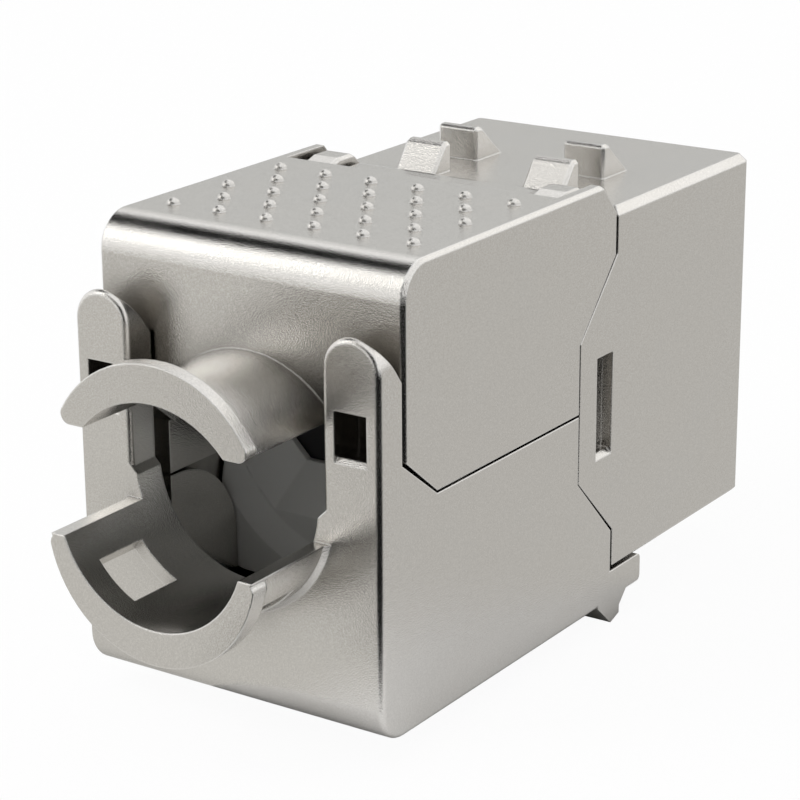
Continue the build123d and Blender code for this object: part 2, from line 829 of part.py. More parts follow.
# Block that holds the insulation displacement contacts
with BuildPart() as idc_block:
    block_length = block_front - block_rear
    block_middle = (block_front + block_rear) / 2
    with Locations((0, block_middle, 0)):
        Box(2 * block_half_width, block_length, 2 * block_half_height)
    with BuildSketch(Plane.XZ.offset(-block_rear)):
        with GridLocations(wire_pitch, 2 * block_half_height, 4, 2):
            Rectangle(groove_width, 2 * groove_depth)
    extrude(amount=-block_length, mode=Mode.SUBTRACT)
    blade_slots = [Location((wire_columns[i], blade_rows[i])) for i in range(4)]
    with BuildSketch(Plane.XY.offset(blade_root - seat_clearance)):
        with Locations(*blade_slots):
            Rectangle(blade_width + 2 * seat_clearance, blade_thickness + 2 * seat_clearance)
    extrude(amount=block_half_height, mode=Mode.SUBTRACT)
    with BuildSketch(Plane.XY.offset(-blade_root + seat_clearance)):
        with Locations(*blade_slots):
            Rectangle(blade_width + 2 * seat_clearance, blade_thickness + 2 * seat_clearance)
    extrude(amount=-block_half_height, mode=Mode.SUBTRACT)
    for column, row in zip(wire_columns, blade_rows):
        with BuildSketch(Plane.XZ.offset(-block_front)):
            with Locations((column, tail_height), (column, -tail_height)):
                Rectangle(tail_size + 2 * seat_clearance, tail_size + 2 * seat_clearance)
        extrude(amount=block_front - row, mode=Mode.SUBTRACT)

# Forked contacts, four upwards and four downwards
idc_parts = []
for number, (column, row) in enumerate(zip(wire_columns, blade_rows), start=1):
    with BuildPart() as idc_contact:
        with BuildSketch(Plane.XZ.offset(-row + blade_thickness / 2)):
            with BuildLine():
                Polyline(
                    (column - blade_width / 2, blade_root),
                    (column - blade_width / 2, blade_tip),
                    (column - blade_mouth / 2, blade_tip),
                    (column - blade_slot / 2, blade_tip - blade_mouth_depth),
                    (column - blade_slot / 2, blade_tip - blade_slot_depth),
                    (column + blade_slot / 2, blade_tip - blade_slot_depth),
                    (column + blade_slot / 2, blade_tip - blade_mouth_depth),
                    (column + blade_mouth / 2, blade_tip),
                    (column + blade_width / 2, blade_tip),
                    (column + blade_width / 2, blade_root),
                    close=True,
                )
            make_face()
        extrude(amount=-blade_thickness)
        with BuildSketch(Plane.XZ.offset(-row)):
            with Locations((column, tail_height)):
                Rectangle(tail_size, tail_size)
        extrude(amount=row - board_front + seat_clearance)
    idc_parts.append(idc_contact.part)
    idc_parts.append(mirror(idc_contact.part, about=Plane.XY))

# Circuit board
with BuildPart() as circuit_board:
    with BuildSketch(Plane.XZ.offset(-board_front)):
        with Locations((0, (board_top + board_bottom) / 2)):
            Rectangle(2 * board_half_width, board_top - board_bottom)
        with GridLocations(wire_pitch, 2 * tail_height, 4, 2):
            Circle(board_hole_radius, mode=Mode.SUBTRACT)
        with Locations((0, wire_floor)):
            with GridLocations(contact_pitch, 1, contact_count, 1):
                Circle(board_hole_radius, mode=Mode.SUBTRACT)
    extrude(amount=board_front - board_rear)

# Contact carrier: floor, rear wall and roof round the plug
with BuildPart() as contact_carrier:
    carrier_half_width = pocket_half_width - seat_clearance
    carrier_half_height = pocket_half_height - seat_clearance
    carrier_front = pocket_front - seat_clearance
    with BuildSketch(Plane.XZ.offset(-carrier_front)):
        Rectangle(2 * carrier_half_width, 2 * carrier_half_height)
        with Locations((-key_x, key_z), (key_x, key_z)):
            Rectangle(
                key_block_width + 2 * seat_clearance,
                key_block_height + 2 * seat_clearance,
                mode=Mode.SUBTRACT,
            )
    extrude(amount=carrier_front - carrier_rear)
    with BuildSketch(Plane.XZ.offset(-carrier_front)):
        with Locations((0, port_middle)):
            Rectangle(2 * carrier_half_width, port_height)
        with Locations((0, port_top + notch_height / 2)):
            Rectangle(notch_width, notch_height)
        with Locations((0, port_top + notch_height + keyway_height / 2)):
            Rectangle(keyway_width, keyway_height)
    extrude(amount=carrier_front - port_depth_wall, mode=Mode.SUBTRACT)

    # Channels for the contacts in the floor, and the comb for their free ends
    channel_front = wire_turn + wire_bend
    channel_floor = wire_floor - wire_thickness / 2 - seat_clearance
    with BuildSketch(Plane.XZ.offset(-channel_front)):
        with Locations((0, (channel_floor + port_bottom) / 2)):
            with GridLocations(contact_pitch, 1, contact_count, 1):
                Rectangle(channel_width, port_bottom - channel_floor)
    extrude(amount=channel_front - port_depth_wall, mode=Mode.SUBTRACT)
    tunnel_height = wire_thickness + 2 * seat_clearance
    with BuildSketch(Plane.XZ.offset(-port_depth_wall)):
        with Locations((0, wire_floor)):
            with GridLocations(contact_pitch, 1, contact_count, 1):
                Rectangle(channel_width, tunnel_height)
    extrude(amount=port_depth_wall - carrier_rear, mode=Mode.SUBTRACT)
    comb_height = wire_end_z + comb_slot_above - port_bottom
    with BuildSketch(Plane.XZ.offset(-port_depth_wall)):
        with Locations((0, port_bottom + comb_height / 2)):
            with GridLocations(contact_pitch, 1, contact_count, 1):
                Rectangle(channel_width, comb_height)
    extrude(amount=comb_slot_depth, mode=Mode.SUBTRACT)

# Sprung contacts of the port
port_contact_parts = []
first_contact = -contact_pitch * (contact_count - 1) / 2
for number in range(contact_count):
    contact_x = first_contact + number * contact_pitch - wire_width / 2
    with BuildPart() as port_contact:
        with BuildSketch(Plane.YZ.offset(contact_x)):
            with BuildLine() as contact_path:
                FilletPolyline(
                    (board_rear + seat_clearance, wire_floor),
                    (wire_turn, wire_floor),
                    (wire_turn, wire_floor + wire_rise),
                    (wire_end_y, wire_end_z),
                    radius=wire_bend,
                )
            trace(contact_path.line, line_width=wire_thickness)
        extrude(amount=wire_width)
    port_contact_parts.append(port_contact.part)

# Shield springs: a strip that bows towards the plug, slit into two leaves
spring_height = port_height - 2 * seat_clearance
spring_x = spring_outer - spring_thickness / 2
spring_middle = (spring_front + spring_rear) / 2
with BuildPart() as shield_spring_right:
    with BuildSketch(Plane.XY.offset(port_bottom + seat_clearance)):
        with BuildLine() as spring_path:
            foot = Line((spring_x, spring_rear), (spring_x, spring_rear + spring_foot))
            bow = ThreePointArc(
                foot @ 1,
                (spring_x - spring_bulge, spring_middle),
                (spring_x, spring_front - spring_foot),
            )
            Line(bow @ 1, (spring_x, spring_front))
        trace(spring_path.line, line_width=spring_thickness)
    extrude(amount=spring_height)
    with BuildSketch(Plane.YZ.offset(spring_outer)):
        with Locations((spring_middle, port_middle)):
            SlotOverall(spring_front - spring_rear - 2 * spring_slit_margin, spring_slit)
    extrude(amount=-2 * spring_bulge - spring_thickness, mode=Mode.SUBTRACT)
shield_spring_left_part = mirror(shield_spring_right.part, about=Plane.YZ)

os.makedirs("parts", exist_ok=True)
front_housing.part.label = "front_housing"
export_step(front_housing.part, "parts/front_housing.step")
upper_flap.part.label = "upper_flap"
export_step(upper_flap.part, "parts/upper_flap.step")
lower_flap.part.label = "lower_flap"
export_step(lower_flap.part, "parts/lower_flap.step")
wire_manager.part.label = "wire_manager"
export_step(wire_manager.part, "parts/wire_manager.step")
idc_block.part.label = "idc_block"
export_step(idc_block.part, "parts/idc_block.step")
circuit_board.part.label = "circuit_board"
export_step(circuit_board.part, "parts/circuit_board.step")
contact_carrier.part.label = "contact_carrier"
export_step(contact_carrier.part, "parts/contact_carrier.step")
shield_spring_right.part.label = "shield_spring_right"
export_step(shield_spring_right.part, "parts/shield_spring_right.step")
shield_spring_left_part.label = "shield_spring_left"
export_step(shield_spring_left_part, "parts/shield_spring_left.step")
for number, idc_part in enumerate(idc_parts, start=1):
    idc_part.label = f"idc_contact_{number}"
    export_step(idc_part, f"parts/idc_contact_{number}.step")
for number, port_contact_part in enumerate(port_contact_parts, start=1):
    port_contact_part.label = f"port_contact_{number}"
    export_step(port_contact_part, f"parts/port_contact_{number}.step")
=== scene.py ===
import logging
import math
from dataclasses import dataclass, field
from enum import Enum
from typing import ClassVar

import bmesh
import bpy
from mathutils import Matrix, Vector

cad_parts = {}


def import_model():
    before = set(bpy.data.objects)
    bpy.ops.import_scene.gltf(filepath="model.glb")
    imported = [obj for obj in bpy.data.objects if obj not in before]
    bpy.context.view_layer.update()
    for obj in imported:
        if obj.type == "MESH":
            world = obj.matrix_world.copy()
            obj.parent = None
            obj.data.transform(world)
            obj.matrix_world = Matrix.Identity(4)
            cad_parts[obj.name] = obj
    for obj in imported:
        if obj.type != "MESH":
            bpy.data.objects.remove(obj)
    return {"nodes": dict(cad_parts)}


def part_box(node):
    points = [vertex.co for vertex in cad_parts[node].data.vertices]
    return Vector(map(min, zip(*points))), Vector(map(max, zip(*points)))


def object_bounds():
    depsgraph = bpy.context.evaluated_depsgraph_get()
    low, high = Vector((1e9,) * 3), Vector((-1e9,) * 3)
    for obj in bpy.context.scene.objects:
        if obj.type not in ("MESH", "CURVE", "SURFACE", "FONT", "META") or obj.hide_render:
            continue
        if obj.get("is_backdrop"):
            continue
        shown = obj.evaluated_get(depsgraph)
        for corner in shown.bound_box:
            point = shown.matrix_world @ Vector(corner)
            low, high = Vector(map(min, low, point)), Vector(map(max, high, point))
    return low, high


# Looks of a shielded, tool-free keystone jack: satin nickel castings round a grey wire manager.

LOG = logging.getLogger("keystone_jack")
MILLIMETRE = 0.001  # in metres
PICTURE_WIDTH = 800  # in pixels

Colour = tuple[float, float, float]
Point = tuple[float, float, float]
Pair = tuple[float, float]
Node = bpy.types.Node
NodeSocket = bpy.types.NodeSocket

WHITE: Colour = (1.0, 1.0, 1.0)
ZINC: Colour = (0.80, 0.783, 0.755)


class Socket(Enum):
    """Kinds of group socket."""

    VALUE = "NodeSocketFloat"
    VECTOR = "NodeSocketVector"


class Way(Enum):
    """Directions of a group socket."""

    IN = "INPUT"
    OUT = "OUTPUT"


class Ready(Enum):
    """Nodes that a new material or world starts with."""

    SHADER = "BSDF_PRINCIPLED"
    SURFACE = "OUTPUT_MATERIAL"
    BACKGROUND = "BACKGROUND"
    WORLD = "OUTPUT_WORLD"


class Coat(Enum):
    """Names of the finishes."""

    FLAP = "Satin nickel flap"
    HOUSING = "Satin nickel housing"
    MANAGER = "Grey moulding"
    CARRIER = "Black moulding"
    BOARD = "Green board"
    GOLD = "Gold plating"
    TIN = "Tin plating"
    SPRING = "Bright spring sheet"


@dataclass
class Tree:
    """A node tree with short calls for adding and joining nodes.

    Args:
        tree: the node tree that is filled.
        column: how many nodes have been laid out so far.
    """

    tree: bpy.types.NodeTree
    column: int = 0
    step_across: ClassVar[int] = 190
    step_down: ClassVar[int] = 160
    rows: ClassVar[int] = 3
    mix_inputs: ClassVar[tuple[int, int, int]] = (0, 6, 7)
    mix_output: ClassVar[int] = 2

    def node(self, kind: str, **settings: object) -> Node:
        """Adds a node.

        Args:
            kind: the node's type name.
            settings: attributes to set.

        Returns:
            The new node.
        """
        made = self.tree.nodes.new(kind)
        row = self.column % self.rows
        made.location = (self.column * self.step_across, -row * self.step_down)
        self.column += 1
        for name, value in settings.items():
            setattr(made, name, value)
        return made

    def ready(self, kind: Ready) -> Node:
        """Returns a node that the tree started with."""
        return next(node for node in self.tree.nodes if node.type == kind.value)

    def place(self) -> NodeSocket:
        """Returns the piece's own coordinates, in metres."""
        return self.node("ShaderNodeTexCoord").outputs["Object"]

    def join(self, source: NodeSocket, target: NodeSocket) -> None:
        """Links two sockets."""
        self.tree.links.new(source, target)

    def put(self, target: NodeSocket, value: object) -> None:
        """Sets a socket to a value or links it to another socket.

        Args:
            target: the socket that is fed.
            value: a socket, or a plain value.
        """
        if isinstance(value, NodeSocket):
            self.join(value, target)
        else:
            target.default_value = value

    def maths(
        self, operation: str, first: object, second: object, clamp: bool = False
    ) -> NodeSocket:
        """Adds a maths node.

        Args:
            operation: the node's operation.
            first: first value or socket.
            second: second value or socket.
            clamp: whether the result stays between 0 and 1.

        Returns:
            The result socket.
        """
        made = self.node("ShaderNodeMath", operation=operation, use_clamp=clamp)
        self.put(made.inputs[0], first)
        self.put(made.inputs[1], second)
        return made.outputs[0]

    def share(self, value: NodeSocket, amount: object) -> NodeSocket:
        """Returns a value times an amount."""
        return self.maths("MULTIPLY", value, amount)

    def spread(self, value: NodeSocket, levels: Pair) -> NodeSocket:
        """Maps a range of values smoothly onto 0 to 1.

        Args:
            value: the socket that is mapped.
            levels: the values that become 0 and 1.

        Returns:
            The mapped value.
        """
        made = self.node("ShaderNodeMapRange", interpolation_type="SMOOTHSTEP")
        for index, item in enumerate((value, *levels)):
            self.put(made.inputs[index], item)
        return made.outputs[0]

    def mixed(self, factor: object, first: object, second: object) -> NodeSocket:
        """Mixes two colours.

        Args:
            factor: share of the second colour.
            first: first colour or socket.
            second: second colour or socket.

        Returns:
            The mixed colour.
        """
        made = self.node("ShaderNodeMix", data_type="RGBA", blend_type="MIX")
        for index, item in zip(self.mix_inputs, (factor, first, second)):
            self.put(made.inputs[index], item)
        return made.outputs[self.mix_output]

    def noise(
        self, place: NodeSocket, scale: object, detail: float = 2.0, roughness: float = 0.5
    ) -> NodeSocket:
        """Adds a noise texture.

        Args:
            place: the coordinates.
            scale: cells per metre.
            detail: octaves.
            roughness: weight of the finer octaves.

        Returns:
            The noise value.
        """
        made = self.node("ShaderNodeTexNoise")
        self.join(place, made.inputs["Vector"])
        self.put(made.inputs["Scale"], scale)
        made.inputs["Detail"].default_value = detail
        made.inputs["Roughness"].default_value = roughness
        return made.outputs[0]

    def show_mix(self, factor: NodeSocket, first: Node, second: Node, end: Ready) -> None:
        """Shows a mix of two shaders.

        Args:
            factor: share of the second shader.
            first: first shader.
            second: second shader.
            end: the tree's output.
        """
        mix = self.node("ShaderNodeMixShader")
        for index, source in enumerate((factor, first.outputs[0], second.outputs[0])):
            self.join(source, mix.inputs[index])
        self.join(mix.outputs[0], self.ready(end).inputs["Surface"])


def colour4(colour: Colour) -> tuple[float, float, float, float]:
    """Returns a colour with full alpha."""
    return (*colour, 1.0)


@dataclass
class Effects:
    """Node groups that several finishes share, each built once.

    Args:
        coarse_scale: cells of the coarse grain for each cell of the fine one.
        fine_weight: weight of the fine grain.
        coarse_weight: weight of the coarse grain.
        height_levels: noise at the foot and at the top of the grain.
        sparkle_levels: fine noise where a sparkle starts and is full.
        tone_levels: noise where the tone is dark and pale.
        edge_radius: radius of the rounded edges, in metres.
        edge_samples: rays that look for an edge.
        edge_levels: agreement with the flat face where an edge starts and is full.
        break_cells: cells per metre of the breaks in an edge's polish and painted highlight.
        cloud_levels: noise where the cloud is 0 and 1.
        recess_reach: how far a corner is felt, in metres.
        recess_samples: rays that look for a corner.
        recess_levels: openness where the painted shade starts and is full.
    """

    coarse_scale: float = 0.37
    fine_weight: float = 0.88
    coarse_weight: float = 0.12
    height_levels: Pair = (0.3, 0.7)
    sparkle_levels: Pair = (0.58, 0.72)
    tone_levels: Pair = (0.35, 0.65)
    edge_radius: float = 0.11 * MILLIMETRE
    edge_samples: int = 4
    edge_levels: Pair = (0.995, 0.9)
    break_cells: float = 900.0
    cloud_levels: Pair = (0.25, 0.75)
    recess_reach: float = 2.4 * MILLIMETRE
    recess_samples: int = 4
    recess_levels: Pair = (0.90, 0.32)

    def __post_init__(self) -> None:
        """Builds the groups."""
        self.grain = self.build_grain()
        self.edges = self.build_edges()
        self.cloud = self.build_cloud()
        # painted shade in corners and hollows
        self.recess = self.build_recess()

    @staticmethod
    def start(
        name: str, sockets: list[tuple[str, Way, Socket, float]]
    ) -> tuple[Tree, Node, Node]:
        """Starts a node group.

        Args:
            name: the group's name.
            sockets: name, way, kind and value of each socket.

        Returns:
            The tree, its input node and its output node.
        """
        group = bpy.data.node_groups.new(name, "ShaderNodeTree")
        for label, way, kind, value in sockets:
            made = group.interface.new_socket(
                label, in_out=way.value, socket_type=kind.value
            )
            if kind is Socket.VALUE:
                made.default_value = value
        tree = Tree(group)
        return tree, tree.node("NodeGroupInput"), tree.node("NodeGroupOutput")

    def build_grain(self) -> bpy.types.NodeTree:
        """Builds the blasted grain of the castings.

        Returns:
            A group with a height, a sparkle mask and a tone.
        """
        tree, enter, leave = self.start(
            "Blasted grain",
            [
                ("Grain per metre", Way.IN, Socket.VALUE, 9000.0),
                ("Height", Way.OUT, Socket.VALUE, 0.0),
                ("Sparkle", Way.OUT, Socket.VALUE, 0.0),
                ("Tone", Way.OUT, Socket.VALUE, 0.0),
            ],
        )
        place = tree.place()
        scale = enter.outputs["Grain per metre"]
        fine = tree.noise(place, scale, detail=2.0, roughness=0.6)
        wider = tree.share(scale, self.coarse_scale)
        coarse = tree.noise(place, wider, detail=1.0, roughness=0.5)
        both = tree.maths(
            "ADD", tree.share(fine, self.fine_weight), tree.share(coarse, self.coarse_weight)
        )
        tree.join(tree.spread(both, self.height_levels), leave.inputs["Height"])
        tree.join(tree.spread(fine, self.sparkle_levels), leave.inputs["Sparkle"])
        tree.join(tree.spread(both, self.tone_levels), leave.inputs["Tone"])
        return tree.tree

    def build_edges(self) -> bpy.types.NodeTree:
        """Builds the mask of the edges, whose brighter colour is partly polish wear and partly a
        painted highlight, and the normal that rounds them.

        Returns:
            A group with a mask that is 1 on sharp edges, and a rounded normal.
        """
        tree, enter, leave = self.start(
            "Worn and highlit edges",
            [
                ("Broken by", Way.IN, Socket.VALUE, 0.3),
                ("Mask", Way.OUT, Socket.VALUE, 0.0),
                ("Normal", Way.OUT, Socket.VECTOR, 0.0),
            ],
        )
        rounded = tree.node("ShaderNodeBevel", samples=self.edge_samples)
        rounded.inputs["Radius"].default_value = self.edge_radius
        flat = tree.node("ShaderNodeNewGeometry")
        dot = tree.node("ShaderNodeVectorMath", operation="DOT_PRODUCT")
        tree.join(rounded.outputs[0], dot.inputs[0])
        tree.join(flat.outputs["Normal"], dot.inputs[1])
        # edge mask: partly polish wear, partly a painted highlight on every sharp edge
        edge = tree.spread(dot.outputs["Value"], self.edge_levels)
        gaps = tree.noise(tree.place(), self.break_cells, detail=3.0)
        breaks = tree.share(gaps, enter.outputs["Broken by"])
        mask = tree.maths("SUBTRACT", edge, breaks, clamp=True)
        tree.join(mask, leave.inputs["Mask"])
        tree.join(rounded.outputs[0], leave.inputs["Normal"])
        return tree.tree

    def build_cloud(self) -> bpy.types.NodeTree:
        """Builds slow changes of tone over a surface.

        Returns:
            A group with a value around 0.5.
        """
        tree, enter, leave = self.start(
            "Slow cloud",
            [
                ("Cells per metre", Way.IN, Socket.VALUE, 200.0),
                ("Value", Way.OUT, Socket.VALUE, 0.0),
            ],
        )
        cells = enter.outputs["Cells per metre"]
        slow = tree.noise(tree.place(), cells, detail=3.0, roughness=0.55)
        tree.join(tree.spread(slow, self.cloud_levels), leave.inputs["Value"])
        return tree.tree

    def build_recess(self) -> bpy.types.NodeTree:
        """Builds the mask of corners and hollows, where shade is painted darker into the colour.

        Returns:
            A group with a mask that is 1 deep in a corner.
        """
        tree, enter, leave = self.start(
            "Painted recess shade",
            [
                ("Depth", Way.IN, Socket.VALUE, 1.0),
                ("Mask", Way.OUT, Socket.VALUE, 0.0),
            ],
        )
        # painted shade: ambient occlusion finds corners and hollows, and the colour is darkened
        # there
        reach = tree.node("ShaderNodeAmbientOcclusion", samples=self.recess_samples)
        reach.inputs["Distance"].default_value = self.recess_reach
        closed = tree.spread(reach.outputs["AO"], self.recess_levels)
        mask = tree.maths("MULTIPLY", closed, enter.outputs["Depth"], clamp=True)
        tree.join(mask, leave.inputs["Mask"])
        return tree.tree


@dataclass(frozen=True)
class Finish:
    """What every finish has, and the steps that lay it on.

    Args:
        coat: which finish it is, and the material's name.
        colour: linear base colour.
        roughness: base roughness.
        relief: strength of the bump.
        relief_depth: height of the bump, in metres.
        cloud_cells: cells per metre of the slow cloud.
    """

    coat: Coat
    colour: Colour
    roughness: float
    relief: float = 0.16
    relief_depth: float = 0.03 * MILLIMETRE
    cloud_cells: float = 260.0

    def start(self) -> tuple[bpy.types.Material, Tree, Node]:
        """Starts the material.

        Returns:
            The material, its tree and its main shader.
        """
        material = bpy.data.materials.new(self.coat.value)
        material.use_nodes = True
        material.diffuse_color = colour4(self.colour)
        tree = Tree(material.node_tree)
        shader = tree.ready(Ready.SHADER)
        shader.inputs["Base Color"].default_value = colour4(self.colour)
        shader.inputs["Roughness"].default_value = self.roughness
        return material, tree, shader

    @staticmethod
    def effect(tree: Tree, group: bpy.types.NodeTree, **values: float) -> Node:
        """Places a shared effect.

        Args:
            tree: the material's tree.
            group: the effect.
            values: socket values, with underscores for spaces.

        Returns:
            The group node.
        """
        made = tree.node("ShaderNodeGroup", node_tree=group)
        for name, value in values.items():
            made.inputs[name.replace("_", " ")].default_value = value
        return made

    def cloud(self, tree: Tree, effects: Effects) -> NodeSocket:
        """Places the slow cloud.

        Args:
            tree: the material's tree.
            effects: the shared effects.

        Returns:
            The cloud's value.
        """
        made = self.effect(tree, effects.cloud, Cells_per_metre=self.cloud_cells)
        return made.outputs["Value"]

    def emboss(
        self, tree: Tree, shader: Node, height: NodeSocket, edges: Node | None = None
    ) -> None:
        """Gives the surface its relief.

        Args:
            tree: the material's tree.
            shader: the main shader.
            height: the relief's height.
            edges: the edge group whose rounded normal lies under the relief.
        """
        bump = tree.node("ShaderNodeBump")
        bump.inputs["Strength"].default_value = self.relief
        bump.inputs["Distance"].default_value = self.relief_depth
        tree.join(height, bump.inputs["Height"])
        if edges is not None:
            tree.join(edges.outputs["Normal"], bump.inputs["Normal"])
        tree.join(bump.outputs[0], shader.inputs["Normal"])


@dataclass(frozen=True)
class CastMetal(Finish):
    """Satin nickel over a blasted zinc casting.

    Args:
        bright: colour of the polished edges, which also stands for a painted highlight on them.
        dark: colour in the pits of the grain.
        warm: colour that the cloud leans to.
        painted_shade: colour of the painted shade deep in corners.
        grain: grains per metre.
        painted_shade_depth: how dark the painted shade in the corners is.
        edge_breaks: how far the edges' polish and painted highlight are broken up.
        pit_share: most of the dark colour in a pit.
        warm_share: most of the warm colour in the cloud.
        sparkle_share: most of the bright colour on a sparkle.
        smoothest: how far the cloud's low end takes the roughness down.
        cloud_rough: roughness that the cloud adds.
        sparkle_smooth: roughness that a sparkle takes off.
        edge_smooth: roughness that polish wear takes off an edge.
    """

    bright: Colour = (0.93, 0.92, 0.90)
    dark: Colour = (0.55, 0.535, 0.51)
    warm: Colour = (0.76, 0.72, 0.66)
    painted_shade: Colour = (0.20, 0.188, 0.168)
    grain: float = 17000.0
    painted_shade_depth: float = 0.85
    edge_breaks: float = 0.35
    pit_share: float = 0.32
    warm_share: float = 0.12
    sparkle_share: float = 0.35
    smoothest: float = 0.05
    cloud_rough: float = 0.08
    sparkle_smooth: float = 0.08
    edge_smooth: float = 0.14

    def build(self, effects: Effects) -> bpy.types.Material:
        """Builds the material.

        Args:
            effects: the shared effects.

        Returns:
            The material.
        """
        material, tree, shader = self.start()
        shader.inputs["Metallic"].default_value = 1.0
        grain = self.effect(tree, effects.grain, Grain_per_metre=self.grain)
        edges = self.effect(tree, effects.edges, Broken_by=self.edge_breaks)
        # mask of the painted corner shade
        recess = self.effect(tree, effects.recess, Depth=self.painted_shade_depth)
        cloud = self.cloud(tree, effects)
        sparkle = grain.outputs["Sparkle"]
        wear_and_highlight = edges.outputs["Mask"]

        pits = tree.share(tree.maths("SUBTRACT", 1.0, grain.outputs["Tone"]), self.pit_share)
        skin = tree.mixed(pits, colour4(self.colour), colour4(self.dark))
        skin = tree.mixed(tree.share(cloud, self.warm_share), skin, colour4(self.warm))
        skin = tree.mixed(tree.share(sparkle, self.sparkle_share), skin, colour4(self.bright))
        # edges painted brighter: partly polish wear, partly a painted highlight
        skin = tree.mixed(wear_and_highlight, skin, colour4(self.bright))
        # painted shade: corners and hollows darkened in the base colour
        skin = tree.mixed(recess.outputs["Mask"], skin, colour4(self.painted_shade))
        tree.join(skin, shader.inputs["Base Color"])

        rough = tree.maths(
            "ADD", self.roughness - self.smoothest, tree.share(cloud, self.cloud_rough)
        )
        rough = tree.maths("SUBTRACT", rough, tree.share(sparkle, self.sparkle_smooth))
        rough = tree.maths("SUBTRACT", rough, tree.share(wear_and_highlight, self.edge_smooth), clamp=True)
        tree.join(rough, shader.inputs["Roughness"])

        self.emboss(tree, shader, grain.outputs["Height"], edges)
        return material


@dataclass(frozen=True)
class MouldedPlastic(Finish):
    """Matt moulded plastic with a fine eroded skin.

    Args:
        pale: colour that the cloud and the edges lean to.
        grain: grains per metre.
        edge_breaks: how far the edges' wear and painted highlight are broken up.
        cloud_share: most of the pale colour in the cloud.
        edge_share: most of the pale colour on an edge, partly wear and partly a painted highlight.
        grain_rough: roughness that the grain adds.
    """

    relief: float = 0.08
    cloud_cells: float = 330.0
    pale: Colour = (0.3, 0.3, 0.3)
    grain: float = 14000.0
    edge_breaks: float = 0.2
    cloud_share: float = 0.25
    edge_share: float = 0.5
    grain_rough: float = 0.1

    def build(self, effects: Effects) -> bpy.types.Material:
        """Builds the material.

        Args:
            effects: the shared effects.

        Returns:
            The material.
        """
        material, tree, shader = self.start()
        grain = self.effect(tree, effects.grain, Grain_per_metre=self.grain)
        edges = self.effect(tree, effects.edges, Broken_by=self.edge_breaks)
        cloud = tree.share(self.cloud(tree, effects), self.cloud_share)
        wear_and_highlight = tree.share(edges.outputs["Mask"], self.edge_share)

        skin = tree.mixed(cloud, colour4(self.colour), colour4(self.pale))
        # edges painted paler: partly wear, partly a painted highlight
        skin = tree.mixed(wear_and_highlight, skin, colour4(self.pale))
        tree.join(skin, shader.inputs["Base Color"])

        added = tree.share(grain.outputs["Tone"], self.grain_rough)
        rough = tree.maths("ADD", self.roughness, added, clamp=True)
        tree.join(rough, shader.inputs["Roughness"])

        self.emboss(tree, shader, grain.outputs["Height"], edges)
        return material


@dataclass(frozen=True)
class PlatedSheet(Finish):
    """Plated strip, rolled along one direction.

    Args:
        stretch: how the coordinates are squeezed, so that the rolling lines run along Y.
        tarnish: colour of the duller stretches.
        rolling: rolling lines per metre.
        edge_breaks: how far the edges' wear is broken up.
        tarnish_share: most of the tarnish in the cloud.
        smoothest: how far the lines' low end takes the roughness down.
        line_rough: roughness that the lines add.
    """

    relief: float = 0.05
    relief_depth: float = 0.02 * MILLIMETRE
    cloud_cells: float = 500.0
    stretch: Point = (1.0, 0.06, 1.0)
    tarnish: Colour = (0.4, 0.35, 0.25)
    rolling: float = 16000.0
    edge_breaks: float = 0.2
    tarnish_share: float = 0.25
    smoothest: float = 0.05
    line_rough: float = 0.12

    def build(self, effects: Effects) -> bpy.types.Material:
        """Builds the material.

        Args:
            effects: the shared effects.

        Returns:
            The material.
        """
        material, tree, shader = self.start()
        shader.inputs["Metallic"].default_value = 1.0
        mapping = tree.node("ShaderNodeMapping")
        tree.join(tree.place(), mapping.inputs["Vector"])
        mapping.inputs["Scale"].default_value = self.stretch
        lines = tree.noise(mapping.outputs[0], self.rolling)
        edges = self.effect(tree, effects.edges, Broken_by=self.edge_breaks)
        cloud = tree.share(self.cloud(tree, effects), self.tarnish_share)

        skin = tree.mixed(cloud, colour4(self.colour), colour4(self.tarnish))
        tree.join(skin, shader.inputs["Base Color"])

        smooth = self.roughness - self.smoothest
        rough = tree.maths("ADD", smooth, tree.share(lines, self.line_rough), clamp=True)
        tree.join(rough, shader.inputs["Roughness"])

        self.emboss(tree, shader, lines, edges)
        return material


@dataclass(frozen=True)
class BoardLacquer(Finish):
    """Solder mask over copper tracks.

    Args:
        track: colour where a track lies under the mask.
        gloss: weight of the clear coat.
        track_waves: scale of the tracks' wave.
        track_bend: how far the tracks wander.
        track_levels: wave values where a track starts and is full.
        cloud_rough: roughness that the cloud adds.
    """

    relief: float = 0.2
    cloud_cells: float = 800.0
    track: Colour = (0.05, 0.26, 0.11)
    gloss: float = 0.4
    track_waves: float = 420.0
    track_bend: float = 1.5
    track_levels: Pair = (0.6, 0.72)
    cloud_rough: float = 0.1

    def build(self, effects: Effects) -> bpy.types.Material:
        """Builds the material.

        Args:
            effects: the shared effects.

        Returns:
            The material.
        """
        material, tree, shader = self.start()
        shader.inputs["Coat Weight"].default_value = self.gloss
        wave = tree.node("ShaderNodeTexWave", wave_type="BANDS", bands_direction="DIAGONAL")
        tree.join(tree.place(), wave.inputs["Vector"])
        wave.inputs["Scale"].default_value = self.track_waves
        wave.inputs["Distortion"].default_value = self.track_bend
        tracks = tree.spread(wave.outputs["Fac"], self.track_levels)

        skin = tree.mixed(tracks, colour4(self.colour), colour4(self.track))
        tree.join(skin, shader.inputs["Base Color"])

        added = tree.share(self.cloud(tree, effects), self.cloud_rough)
        rough = tree.maths("ADD", self.roughness, added, clamp=True)
        tree.join(rough, shader.inputs["Roughness"])

        self.emboss(tree, shader, tracks)
        return material


